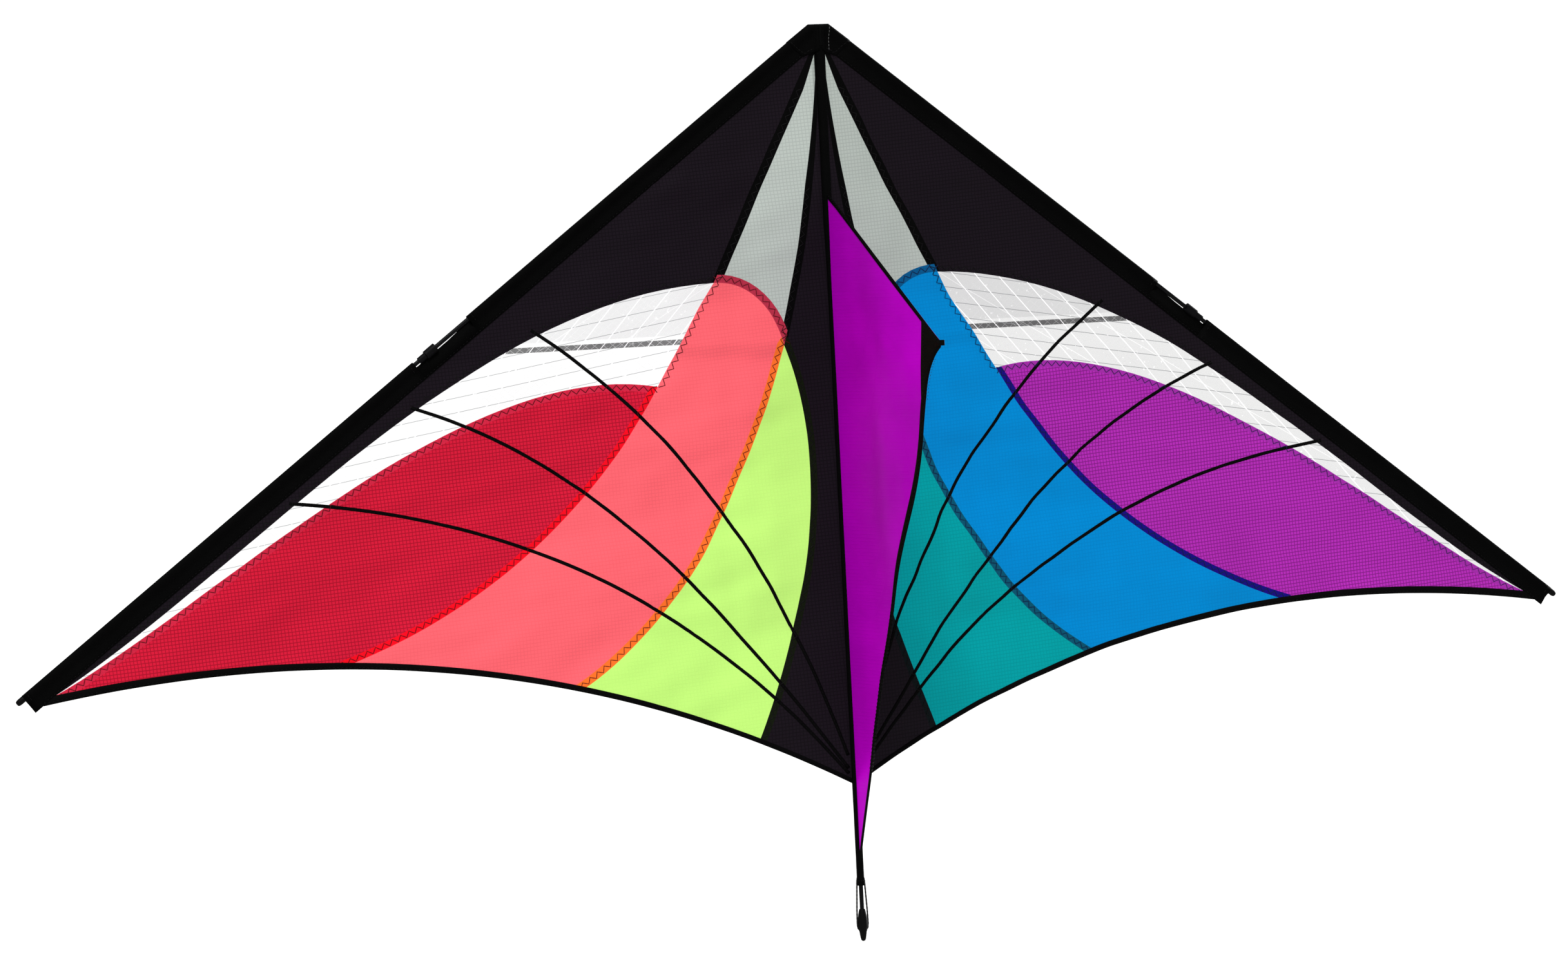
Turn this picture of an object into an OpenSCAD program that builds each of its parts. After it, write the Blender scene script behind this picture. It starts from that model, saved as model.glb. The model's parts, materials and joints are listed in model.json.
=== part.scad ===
// Single-line delta kite with a triangular keel. The tow loop's eye is the origin.
// +Z points to the nose, +X to the flyer's right wing as drawn, and +Y to the back of the sail.
// Each wing is drawn flat in its own (u, z) plane: u runs out from the spine, z up from the tail.

/* [Sail] */
// Height of the nose above the foot of the spine
nose_h = 854; // [840:1:870]
// Distance from the spine to the end of the leading edge, in the wing's plane
wing_u = 778; // [760:1:800]
// Height of the wing tip above the foot of the spine
tip_h = 279; // [270:1:290]
// Half the width of the flat top of the nose
nose_u = 10; // [9:0.5:12]
// Angle by which each wing leans back from a flat sheet
dihedral = 5.5; // [3:0.5:8]
// Thickness of a sail panel
cloth_t = 0.5; // [0.4:0.1:0.8]
// Width of the hem tape along the trailing edge
hem_w = 6; // [5:0.5:8]
// Width of the narrow tapes that run from the leading panel to the spine
tape_w = 3.2; // [2.5:0.1:4]

/* [Frame] */
// Diameter of the solid spine and leading edge rods
rod_d = 4; // [3.8:0.1:4.4]
// Outer diameter of the spreader tube
spreader_d = 5; // [4.5:0.1:5.5]
// Wall of the spreader tube
spreader_wall = 1; // [0.8:0.1:1.2]
// Outer diameter of the metal ferrules
ferrule_d = 5.6; // [5.4:0.1:6]
// Length of a ferrule
ferrule_l = 60; // [40:1:70]
// Outer diameter of a rod's end cap
cap_d = 5.8; // [5.6:0.1:6.2]

/* [Leading edge sleeve] */
// Width of the sleeve, across the leading edge
sleeve_w = 20; // [18:0.5:22]
// Distance from the sleeve's outer fold to the middle of the rod
rod_in = 3.2; // [3.2:0.1:3.6]
// Where the opening for the spreader fitting starts, along the leading edge
gap_start = 424; // [418:1:430]
// Where the opening for the spreader fitting ends
gap_end = 490; // [488:1:496]
// Where the spreader fitting sits
fitting_at = 470; // [466:1:471]

/* [Keel] */
// Distance from the spine to the tow loop's eye
keel_d = 257; // [256:0.5:259]
// Height of the tow loop above the foot of the spine
tow_h = 556; // [554:1:558]
// Radius of the tow loop's eye
eye_r = 1.5; // [1.5:0.1:1.8]
// Width of the tow loop's webbing
loop_w = 5; // [4:0.5:6]

/* [Hidden] */
$fn = 48;

left = -1;
right = 1;

// Radius of the spine's cloth tube, and of the circle that the wings and the keel start at
spine_r = 4.2;
root_u = 5;
sleeve_end_h = 52;
spine_top = nose_h - 16;
spine_mid = 430;

// The leading edge, as a line from the nose to the tip
le_angle = atan2(nose_h - tip_h, wing_u - nose_u);
le_len = norm([nose_h - tip_h, wing_u - nose_u]);
le_top = 6;
le_joint = gap_end + 2 + ferrule_l / 2;
function under_sleeve(u) = [u, nose_h - (u - nose_u) * tan(le_angle) - sleeve_w / cos(le_angle)];

// Seams of a wing, in its (u, z) plane
apex = under_sleeve(root_u);
gusset_foot = [113, 619];
clear_corner = [171, 526];
inner_top = [48, 558];
centre_top = [root_u, 800];
tip_seam = under_sleeve(746);
hem_outer = 0.35;
hem_middle = 0.65;
hem_inner = 0.88;
seam_steps = 18;

function blend_point(p, t) =
    pow(1 - t, 3) * p[0] + 3 * pow(1 - t, 2) * t * p[1] + 3 * (1 - t) * t * t * p[2] + pow(t, 3) * p[3];
function curve(p, from = 0, to = 1, n = seam_steps) =
    [for (i = [0 : n]) blend_point(p, from + (to - from) * i / n)];
function back(points) = [for (i = [len(points) - 1 : -1 : 0]) points[i]];
function inside(points) = [for (i = [1 : len(points) - 2]) points[i]];

edge_curve = [under_sleeve(758), [495, 311], [240, 276], [root_u, 147]];
hem_curve = [tip_seam, [490, 311 + hem_w], [240, 276 + hem_w], [root_u, 147 + hem_w]];
function hem_point(t) = blend_point(hem_curve, t);
hem_steps = 9;
function hem_part(from, to) = curve(hem_curve, from, to, hem_steps);
hem_line = concat(
    hem_part(0, hem_outer), inside(hem_part(hem_outer, hem_middle)), [hem_point(hem_middle)],
    inside(hem_part(hem_middle, hem_inner)), hem_part(hem_inner, 1)
);

leading_seam = [gusset_foot, [345, 615], [565, 380], tip_seam];
clear_seam = [clear_corner, [355, 565], [605, 345], tip_seam];
outer_seam = [clear_corner, [240, 410], [345, 330], hem_point(hem_outer)];
middle_seam = [inner_top, [90, 440], [140, 320], hem_point(hem_middle)];
inner_seam = [inner_top, [5, 435], [40, 310], hem_point(hem_inner)];
gusset_arc = [gusset_foot, [75, 620], [55, 590], inner_top];
gusset_inner = [centre_top, [10, 720], [25, 635], inner_top];
tapes = [
    [[284, 577], [145, 485], [65, 350], [14, 205]],
    [[399, 513], [235, 460], [130, 335], [14, 180]],
    [[515, 435], [320, 415], [150, 335], [14, 175]]
];

// The spreader lies straight across the back, behind the spine
pivot_in = 12;
pivot_back = 9;
pin_d = 3;
tongue_t = 3;
ear_t = 1.6;
ear_gap = 0.1;
mid_gap = 1.2;
fitting_u = nose_u + fitting_at * cos(le_angle) - rod_in * sin(le_angle);
fitting_z = nose_h - fitting_at * sin(le_angle) - rod_in * cos(le_angle);
pivot_down = 4;
pivot = [fitting_u * cos(dihedral) - pivot_in, fitting_u * sin(dihedral) + pivot_back, fitting_z - pivot_down];
eye_len = 22;

// Outline of the keel, as distance in front of the spine and height
keel_top = [root_u, 697];
keel_foot = [root_u, 80];
keel_tip = [keel_d - eye_r - 1, tow_h + 1];
patch_corner = [214, tow_h + 9];
patch_inner = [207, tow_h - 21];
patch_rear = [212, tow_h - 51];
keel_rear_curve = [patch_rear, [158, 370], [65, 240], keel_foot];
keel_front_hem_w = 12;
keel_rear_hem_w = 11;
keel_rear_seam = [for (p = curve(keel_rear_curve, 0, 0.94)) p - [keel_rear_hem_w, 0]];
patch_t = 1.2;

// The tail
cap_l = 30;
cap_r = 3.5;
bungee_d = 1.8;
bungee_x = 4.5;
bungee_z = 9;

// Moves from the wing's own plane, and from the spine's foot, to the tow loop's frame
module at_spine() {
    translate([0, keel_d, -tow_h]) children();
}

module on_wing(side) {
    at_spine() mirror([side == left ? 1 : 0, 0, 0]) rotate([0, 0, dihedral]) children();
}

// Along a leading edge: +X runs out to the tip, +Z is square to the edge, outwards
module on_edge(side) {
    on_wing(side) translate([nose_u, 0, nose_h]) rotate([0, le_angle, 0]) children();
}

module on_pivot(side) {
    at_spine() mirror([side == left ? 1 : 0, 0, 0]) translate(pivot) children();
}

// A flat sheet in the (u, z) plane, from front to front + t along Y
module sheet(points, t, front) {
    translate([0, front + t, 0]) rotate([90, 0, 0]) linear_extrude(t) polygon(points);
}

module panel(side, points) {
    on_wing(side) sheet(points, cloth_t, -cloth_t / 2);
}

module edge_rod(side, from, to, d) {
    on_edge(side) translate([from, 0, -rod_in]) rotate([0, 90, 0]) cylinder(d = d, h = to - from);
}

module upright(d, from, to) {
    translate([0, 0, from]) cylinder(d = d, h = to - from);
}

// ---------- spine ----------
module spine_rod_upper() {
    color("#1b1b1d") at_spine() upright(rod_d, spine_mid, spine_top);
}

module spine_rod_lower() {
    color("#1b1b1d") at_spine() upright(rod_d, cap_l / 2, spine_mid);
}

module spine_ferrule() {
    color("silver") at_spine() difference() {
        upright(ferrule_d, spine_mid - ferrule_l / 2, spine_mid + ferrule_l / 2);
        upright(rod_d, spine_mid - ferrule_l, spine_mid + ferrule_l);
    }
}

module spine_sleeve() {
    hem = 6;
    color("#0c0c0e") at_spine() difference() {
        union() {
            upright(2 * spine_r, sleeve_end_h, spine_top - 4);
            upright(2 * spine_r + 2, sleeve_end_h, sleeve_end_h + hem);
        }
        upright(ferrule_d + 0.2, 0, nose_h);
    }
}

// The pocket that the spine's top and both leading edge rods push into
module nose_pocket() {
    color("#0a0a0b") at_spine() difference() {
        union() {
            upright(2 * root_u - 0.6, spine_top - 4, nose_h - 2);
            translate([0, 0, nose_h - 2]) cylinder(r1 = root_u - 0.3, r2 = root_u - 1.5, h = 1.5);
        }
        upright(rod_d, 0, spine_top);
    }
}

module spine_end_cap() {
    nib = 8;
    color("#101012") at_spine() difference() {
        union() {
            upright(2 * cap_r, nib, cap_l);
            upright(cap_d, cap_d / 2, nib);
            translate([0, 0, cap_d / 2]) sphere(d = cap_d);
        }
        upright(rod_d, cap_l / 2, cap_l + 1);
        translate([-cap_r - 1, 0, bungee_z + 2]) rotate([0, 90, 0]) cylinder(d = bungee_d, h = 2 * cap_r + 2);
    }
}

// Elastic cord from the sleeve's end, down both sides and through the end cap
module tail_bungee() {
    color("#161618") at_spine() union() {
        for (side = [left, right]) translate([side * bungee_x, 0, 0]) {
            upright(bungee_d, bungee_z + 2, sleeve_end_h);
            translate([0, 0, bungee_z + 2]) sphere(d = bungee_d);
        }
        translate([-bungee_x, 0, bungee_z + 2]) rotate([0, 90, 0]) cylinder(d = bungee_d, h = 2 * bungee_x);
    }
}

// ---------- leading edges ----------
module le_rod_upper(side) {
    color("#1b1b1d") edge_rod(side, le_top, le_joint, rod_d);
}

module le_rod_lower(side) {
    color("#1b1b1d") edge_rod(side, le_joint, le_len + 4, rod_d);
}

module le_ferrule(side) {
    color("silver") difference() {
        edge_rod(side, gap_end + 2, gap_end + 2 + ferrule_l, ferrule_d);
        edge_rod(side, gap_end, gap_end + 4 + ferrule_l, rod_d);
    }
}

module tip_cap(side) {
    over = 7;
    color("#101012") difference() {
        on_edge(side) translate([le_len + 1, 0, -rod_in]) rotate([0, 90, 0]) union() {
            cylinder(d = cap_d, h = over - 1);
            translate([0, 0, over - 1]) cylinder(d1 = cap_d, d2 = cap_d - 2, h = 1);
        }
        edge_rod(side, le_len - 1, le_len + 4, rod_d);
    }
}

// A cloth tube round the rod with a flat double layer below it, open at the spreader fitting
module le_sleeve(side) {
    wall = 0.6;
    bore_d = ferrule_d + 0.4;
    tube_d = bore_d + 2 * wall;
    flat_t = 1;
    slit = 7.6;
    color("#0c0c0e") difference() {
        union() {
            on_wing(side) sheet([
                [root_u, nose_h], [nose_u, nose_h], [wing_u, tip_h],
                [wing_u - sleeve_w * sin(le_angle), tip_h - sleeve_w * cos(le_angle)], apex
            ], flat_t, -flat_t / 2);
            edge_rod(side, le_top, le_len - 0.5, tube_d);
        }
        edge_rod(side, le_top - 0.5, le_len + 20, bore_d);
        on_edge(side) translate([gap_start, -10, -slit]) cube([gap_end - gap_start, 20, 30]);
    }
}

// The moulded clip on the rod, with a fork that holds the spreader's eye
module spreader_fitting(side) {
    clip_l = 12;
    clip_d = 8.6;
    reach = tongue_t / 2 + ear_gap + ear_t;
    fork_x = 5;
    color("#131315") difference() {
        union() {
            edge_rod(side, fitting_at - clip_l / 2, fitting_at + clip_l / 2, clip_d);
            on_pivot(side) translate([fork_x, -reach, -4]) cube([pivot_in - fork_x, 2 * reach, 8]);
            on_pivot(side) for (y = [-reach, reach - ear_t]) translate([0, y, 0]) rotate([-90, 0, 0]) union() {
                cylinder(d = 8, h = ear_t);
                translate([0, -4, 0]) cube([fork_x + 1, 8, ear_t]);
            }
            on_pivot(side) translate([pivot_in - 4, -pivot_back + 2, -4]) cube([5, pivot_back, 8]);
        }
        edge_rod(side, fitting_at - 30, fitting_at + 30, rod_d);
        on_pivot(side) translate([0, -reach - 1, 0]) rotate([-90, 0, 0]) cylinder(d = pin_d, h = 2 * reach + 2);
    }
}

module stop_ring(side) {
    from_clip = 6.2;
    color("#131315") difference() {
        edge_rod(side, fitting_at + from_clip, fitting_at + from_clip + 8, 6.4);
        edge_rod(side, fitting_at, fitting_at + 30, rod_d);
    }
}

module pivot_pin(side) {
    reach = tongue_t / 2 + ear_gap + ear_t;
    head_t = 0.8;
    color("silver") on_pivot(side) rotate([-90, 0, 0]) union() {
        translate([0, 0, -reach]) cylinder(d = pin_d, h = 2 * reach);
        translate([0, 0, reach]) cylinder(d = pin_d + 2, h = head_t);
    }
}

// ---------- sail panels ----------
module leading_panel(side) {
    color("#1d171f") panel(side, concat([apex], back(curve(leading_seam))));
}

module clear_panel(side) {
    color("#eef0f2", 0.6) panel(side, concat(curve(clear_seam), inside(back(curve(leading_seam))), [gusset_foot]));
}

module outer_panel(side) {
    color(side == left ? "#cd2341" : "#b432b9")
        panel(side, concat(back(curve(clear_seam)), inside(curve(outer_seam)), inside(back(hem_part(0, hem_outer)))));
}

module middle_panel(side) {
    color(side == left ? "#ff6268" : "#0a85cc") panel(side, concat(
        curve(outer_seam), inside(hem_part(hem_outer, hem_middle)),
        back(curve(middle_seam)), inside(back(curve(gusset_arc))), [gusset_foot]
    ));
}

module inner_panel(side) {
    color(side == left ? "#b4ff64" : "#00a8a8") panel(side, concat(
        curve(middle_seam), inside(hem_part(hem_middle, hem_inner)), inside(back(curve(inner_seam)))
    ));
}

module gusset(side) {
    color("#b0bcb4") panel(side, concat([apex], curve(gusset_arc), inside(back(curve(gusset_inner))), [centre_top]));
}

module centre_panel(side) {
    color("#171319") panel(side, concat(
        curve(gusset_inner), inside(curve(inner_seam)), hem_part(hem_inner, 1)
    ));
}

module trailing_hem(side) {
    hem_t = 1;
    color("#0c0c0e") on_wing(side) sheet(concat(curve(edge_curve), back(hem_line)), hem_t, -hem_t / 2);
}

// A strip of even width along a curve
function direction(p, i) =
    let (a = p[max(i - 1, 0)], b = p[min(i + 1, len(p) - 1)]) (b - a) / norm(b - a);
function beside(p, w) = [for (i = [0 : len(p) - 1]) p[i] + w * [-direction(p, i)[1], direction(p, i)[0]]];

module sail_tapes(side) {
    tape_t = 0.4;
    color("#0c0c0e") on_wing(side) for (t = tapes) {
        line = curve(t);
        sheet(concat(beside(line, tape_w / 2), back(beside(line, -tape_w / 2))), tape_t, -cloth_t / 2 - tape_t);
    }
}

// ---------- spreader ----------
module spreader_tube(side) {
    from = eye_len - 10;
    tube_l = pivot[0] - mid_gap - from;
    color("#1b1b1d") on_pivot(side) translate([-from, 0, 0]) rotate([0, -90, 0]) difference() {
        cylinder(d = spreader_d, h = tube_l);
        translate([0, 0, -1]) cylinder(d = spreader_d - 2 * spreader_wall, h = tube_l + 2);
    }
}

// A moulded end with a bored tongue, which turns on the fitting's pin
module spreader_eye(side) {
    tongue_l = 8;
    socket_d = spreader_d + 2.6;
    socket_at = 6;
    color("#131315") on_pivot(side) difference() {
        union() {
            rotate([-90, 0, 0]) translate([0, 0, -tongue_t / 2]) cylinder(d = 7, h = tongue_t);
            translate([-tongue_l, -tongue_t / 2, -3.5]) cube([tongue_l, tongue_t, 7]);
            translate([-socket_at, 0, 0]) rotate([0, -90, 0]) cylinder(d = socket_d, h = eye_len - socket_at);
        }
        translate([0, -10, 0]) rotate([-90, 0, 0]) cylinder(d = pin_d + 0.12, h = 20);
        translate([-eye_len + 10, 0, 0]) rotate([0, -90, 0]) cylinder(d = spreader_d, h = eye_len);
    }
}

// The ferrule stays on the left half; a small gap stands for the open joint with the right half
module spreader_ferrule() {
    color("silver") on_pivot(left) difference() {
        translate([-pivot[0] + mid_gap + 30, 0, 0]) rotate([0, -90, 0])
            cylinder(d = spreader_d + 1.6, h = 30);
        translate([-pivot[0] + mid_gap + 40, 0, 0]) rotate([0, -90, 0]) cylinder(d = spreader_d, h = 50);
    }
}

// The spigot that stiffens the right half's open end
module spreader_end_plug() {
    color("silver") on_pivot(right) translate([-pivot[0] + mid_gap + 30, 0, 0]) rotate([0, -90, 0])
        cylinder(d = spreader_d - 2 * spreader_wall, h = 30);
}

// ---------- keel ----------
module keel_sheet(points, t) {
    at_spine() translate([t / 2, 0, 0]) rotate([90, 0, -90]) linear_extrude(t) polygon(points);
}

module keel_panel() {
    color("#8c0096") keel_sheet(concat(
        [keel_top - [0, keel_front_hem_w], patch_corner, patch_inner], keel_rear_seam
    ), cloth_t);
}

module keel_front_hem() {
    color("#0c0c0e") keel_sheet([
        keel_top, keel_tip, keel_tip - [4, 4], patch_corner, keel_top - [0, keel_front_hem_w]
    ], 1);
}

module keel_rear_hem() {
    color("#0c0c0e") keel_sheet(concat(curve(keel_rear_curve), back(keel_rear_seam)), 1);
}

module tow_patch() {
    color("#0a0a0b") keel_sheet(concat(
        [keel_tip - [4, 4], patch_corner, patch_inner, patch_rear - [keel_rear_hem_w, 0]],
        curve([patch_rear, [218, 522], [226, 540], keel_tip - [1, 5]], 0, 1, 8)
    ), patch_t);
}

// A folded loop of webbing, whose eye stands upright
module tow_loop() {
    wall = 1;
    leg_l = 9;
    legs_t = patch_t + 2 * wall;
    color("#0a0a0b") difference() {
        union() {
            translate([0, 0, -loop_w / 2]) cylinder(r = eye_r + wall, h = loop_w);
            translate([-legs_t / 2, 0, -loop_w / 2]) cube([legs_t, leg_l, loop_w]);
        }
        translate([0, 0, -loop_w]) cylinder(r = eye_r, h = 2 * loop_w);
        translate([-patch_t / 2, eye_r + wall, -loop_w]) cube([patch_t, leg_l, 2 * loop_w]);
    }
}

spine_rod_upper();
spine_rod_lower();
spine_ferrule();
spine_sleeve();
nose_pocket();
spine_end_cap();
tail_bungee();
le_rod_upper(left);  // left_le_rod_upper
le_rod_upper(right);  // right_le_rod_upper
le_rod_lower(left);  // left_le_rod_lower
le_rod_lower(right);  // right_le_rod_lower
le_ferrule(left);  // left_le_ferrule
le_ferrule(right);  // right_le_ferrule
tip_cap(left);  // left_tip_cap
tip_cap(right);  // right_tip_cap
le_sleeve(left);  // left_le_sleeve
le_sleeve(right);  // right_le_sleeve
spreader_fitting(left);  // left_spreader_fitting
spreader_fitting(right);  // right_spreader_fitting
stop_ring(left);  // left_stop_ring
stop_ring(right);  // right_stop_ring
pivot_pin(left);  // left_pivot_pin
pivot_pin(right);  // right_pivot_pin
leading_panel(left);  // left_leading_panel
leading_panel(right);  // right_leading_panel
clear_panel(left);  // left_clear_panel
clear_panel(right);  // right_clear_panel
outer_panel(left);  // left_outer_panel
outer_panel(right);  // right_outer_panel
middle_panel(left);  // left_middle_panel
middle_panel(right);  // right_middle_panel
inner_panel(left);  // left_inner_panel
inner_panel(right);  // right_inner_panel
gusset(left);  // left_gusset
gusset(right);  // right_gusset
centre_panel(left);  // left_centre_panel
centre_panel(right);  // right_centre_panel
trailing_hem(left);  // left_trailing_hem
trailing_hem(right);  // right_trailing_hem
sail_tapes(left);  // left_sail_tapes
sail_tapes(right);  // right_sail_tapes
spreader_tube(left);  // left_spreader_tube
spreader_tube(right);  // right_spreader_tube
spreader_eye(left);  // left_spreader_eye
spreader_eye(right);  // right_spreader_eye
spreader_ferrule();
spreader_end_plug();
keel_panel();
keel_front_hem();
keel_rear_hem();
tow_patch();
tow_loop();
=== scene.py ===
"""Delta kite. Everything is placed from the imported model, and lengths in mm are turned to metres by MM."""
import json
import math

import bpy
import numpy as np
from mathutils import Matrix, Vector, noise
from mathutils.geometry import delaunay_2d_cdt


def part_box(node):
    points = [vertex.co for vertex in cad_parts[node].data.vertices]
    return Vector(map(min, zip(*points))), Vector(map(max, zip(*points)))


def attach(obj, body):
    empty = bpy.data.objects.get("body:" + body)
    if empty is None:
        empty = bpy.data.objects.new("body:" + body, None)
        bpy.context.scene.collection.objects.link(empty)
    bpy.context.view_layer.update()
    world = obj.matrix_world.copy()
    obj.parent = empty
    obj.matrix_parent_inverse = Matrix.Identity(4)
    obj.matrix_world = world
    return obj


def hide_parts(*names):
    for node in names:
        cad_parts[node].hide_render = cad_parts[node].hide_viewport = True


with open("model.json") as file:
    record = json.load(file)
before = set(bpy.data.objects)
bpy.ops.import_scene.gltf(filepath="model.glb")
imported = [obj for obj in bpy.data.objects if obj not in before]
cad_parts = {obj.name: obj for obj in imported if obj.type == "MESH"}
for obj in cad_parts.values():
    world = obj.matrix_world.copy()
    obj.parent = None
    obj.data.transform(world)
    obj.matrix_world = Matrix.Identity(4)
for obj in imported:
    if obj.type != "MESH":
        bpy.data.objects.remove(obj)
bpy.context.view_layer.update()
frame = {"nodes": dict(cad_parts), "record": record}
NODES = frame["nodes"]
MM = 0.001

# The spine's foot, from the cap on it, and the lean of each wing
foot_low, foot_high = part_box("spine_end_cap")
SPINE_Y = (foot_low.y + foot_high.y) / 2
FOOT_Z = foot_low.z
LEAN = math.radians(5.5)
SIDES = {"left": -1, "right": 1}


def spine_point(x, y, z):
    """A point given in mm from the foot of the spine."""
    return Vector((x * MM, SPINE_Y + y * MM, FOOT_Z + z * MM))


# ---------- camera ----------
def make_camera():
    azimuth, elevation, roll = (math.radians(a) for a in (21.57, 1.83, -2.85))
    forward = Vector((
        math.sin(azimuth) * math.cos(elevation),
        math.cos(azimuth) * math.cos(elevation),
        -math.sin(elevation),
    ))
    right = Vector((math.cos(azimuth), -math.sin(azimuth), 0))
    up = right.cross(forward)
    turned_right = math.cos(roll) * right + math.sin(roll) * up
    turned_up = math.cos(roll) * up - math.sin(roll) * right
    target = spine_point(-57, 0, 427)
    distance = 6.5
    camera = bpy.data.objects.new("camera", bpy.data.cameras.new("camera"))
    bpy.context.scene.collection.objects.link(camera)
    rotation = Matrix((turned_right, turned_up, -forward)).transposed()
    camera.matrix_world = Matrix.Translation(target - distance * forward) @ rotation.to_4x4()
    camera.data.sensor_width = 36
    camera.data.lens = 161.1
    camera.data.clip_end = 200
    bpy.context.scene.camera = camera


make_camera()


# ---------- shaders ----------
class Shader:
    """A node material, built up with small calls. Values are numbers or sockets."""

    def __init__(self, name):
        self.material = bpy.data.materials.new(name)
        self.material.use_nodes = True
        self.tree = self.material.node_tree
        self.tree.nodes.clear()
        self.place = self.node("ShaderNodeTexCoord").outputs["Object"]
        parts = self.node("ShaderNodeSeparateXYZ", Vector=self.place)
        self.x, self.y, self.z = parts.outputs

    def node(self, kind, settings=None, **inputs):
        made = self.tree.nodes.new(kind)
        for key, value in (settings or {}).items():
            setattr(made, key, value)
        for key, value in inputs.items():
            self.set(made.inputs[key.replace("_", " ")], value)
        return made

    def set(self, socket, value):
        if isinstance(value, bpy.types.NodeSocket):
            self.tree.links.new(value, socket)
        else:
            socket.default_value = value

    def math(self, operation, *values):
        made = self.tree.nodes.new("ShaderNodeMath")
        made.operation = operation
        for socket, value in zip(made.inputs, values):
            self.set(socket, value)
        return made.outputs[0]

    def noise(self, scale, detail=2.0, stretch=(1, 1, 1)):
        mapping = self.node("ShaderNodeMapping", Vector=self.place, Scale=stretch)
        made = self.node("ShaderNodeTexNoise", Vector=mapping.outputs[0], Scale=scale, Detail=detail)
        return made.outputs["Fac"]

    def stripes(self, angle, pitch, width, across=None, along=None):
        """1 on parallel lines of that pitch and width in metres, 0 between them."""
        a = math.radians(angle)
        first = self.math("MULTIPLY", across or self.x, -math.sin(a) / pitch)
        place = self.math("MULTIPLY_ADD", along or self.z, math.cos(a) / pitch, first)
        off = self.math("PINGPONG", place, 0.5)
        ramp = self.node("ShaderNodeMapRange", {"interpolation_type": "SMOOTHSTEP"}, Value=off)
        half = width / pitch / 2
        ramp.inputs["From Min"].default_value = half * 0.5
        ramp.inputs["From Max"].default_value = half * 1.5
        ramp.inputs["To Min"].default_value = 1
        ramp.inputs["To Max"].default_value = 0
        return ramp.outputs[0]

    def mix(self, factor, a, b):
        made = self.node("ShaderNodeMix", {"data_type": "RGBA"})
        self.set(made.inputs[0], factor)
        self.set(made.inputs[6], a)
        self.set(made.inputs[7], b)
        return made.outputs[2]

    def bump(self, height, strength, distance):
        made = self.node("ShaderNodeBump", Strength=strength, Distance=distance, Height=height)
        return made.outputs["Normal"]

    def principled(self, color, roughness, normal, specular, **more):
        made = self.node("ShaderNodeBsdfPrincipled", Roughness=roughness)
        self.set(made.inputs["Base Color"], color)
        made.inputs["Specular IOR Level"].default_value = specular
        if normal is not None:
            self.set(made.inputs["Normal"], normal)
        for key, value in more.items():
            self.set(made.inputs[key.replace("_", " ")], value)
        return made.outputs[0]

    def finish(self, surface):
        self.node("ShaderNodeOutputMaterial", Surface=surface)
        return self.material


def linear(red, green, blue):
    """A colour from 0 to 255 as the shaders take it."""
    values = []
    for value in (red, green, blue):
        share = value / 255
        values.append(share / 12.92 if share <= 0.04045 else ((share + 0.055) / 1.055) ** 2.4)
    return (*values, 1)


def scaled(color, factor):
    return (*(c * factor for c in color[:3]), 1)


GRID = 3.3 * MM
LIGHT = 0.795


def ripstop(name, color, lines, through=0.55, mottle_and_fold_shade=0.10, specular=0.04):
    """Thin cloth that lets light through, with a grid of thicker threads."""
    s = Shader(name)
    rows = s.stripes(4, GRID, 0.75 * MM)
    columns = s.stripes(94, GRID, 0.65 * MM)
    grid = s.math("MAXIMUM", rows, columns)
    # Cloudy patches darken the cloth. They are partly an uneven dye tone and partly painted fold shade. On
    # the keel's purple they are painted streaks of highlight and shade.
    mottle_and_fold_shade_noise = s.noise(9, 3, (0.7, 1, 2.2))
    fine = s.noise(1500, 1)
    base = scaled(linear(*color), LIGHT)
    shade = s.mix(s.math("MULTIPLY", grid, lines), base, scaled(base, 0.25))
    shade = s.mix(s.math("MULTIPLY", mottle_and_fold_shade_noise, mottle_and_fold_shade), shade, scaled(base, 0.45))
    shade = s.mix(s.math("MULTIPLY", fine, 0.16), shade, scaled(base, 0.55))
    crinkle = s.noise(60, 3, (0.6, 1, 1.6))
    height = s.math("MULTIPLY_ADD", crinkle, 1.6, s.math("MULTIPLY", grid, 0.35))
    normal = s.bump(height, 0.25, 0.0006)
    cloth = s.principled(shade, 0.5, normal, specular)
    glow = s.node("ShaderNodeBsdfTranslucent", Color=shade, Normal=normal).outputs[0]
    both = s.node("ShaderNodeMixShader")
    both.inputs[0].default_value = through
    s.set(both.inputs[1], cloth)
    s.set(both.inputs[2], glow)
    return s.finish(both.outputs[0])


def weave(name, color, pitch=0.9):
    """Close black woven cloth or tape, worn a little paler where it rubs."""
    s = Shader(name)
    over = s.stripes(0, pitch * MM, 0.5 * pitch * MM)
    under = s.stripes(90, pitch * MM, 0.5 * pitch * MM)
    threads = s.math("ADD", over, under)
    wear = s.noise(35, 4)
    worn = s.math("MULTIPLY", s.math("POWER", wear, 3.0), 0.6)
    base = linear(*color)
    shade = s.mix(s.math("MULTIPLY", threads, 0.4), base, scaled(base, 0.4))
    shade = s.mix(worn, shade, scaled(base, 2.6))
    height = s.math("MULTIPLY_ADD", s.noise(180, 3), 1.2, s.math("MULTIPLY", threads, 0.3))
    normal = s.bump(height, 0.5, 0.0004)
    return s.finish(s.principled(shade, 0.75, normal, 0.02))


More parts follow.
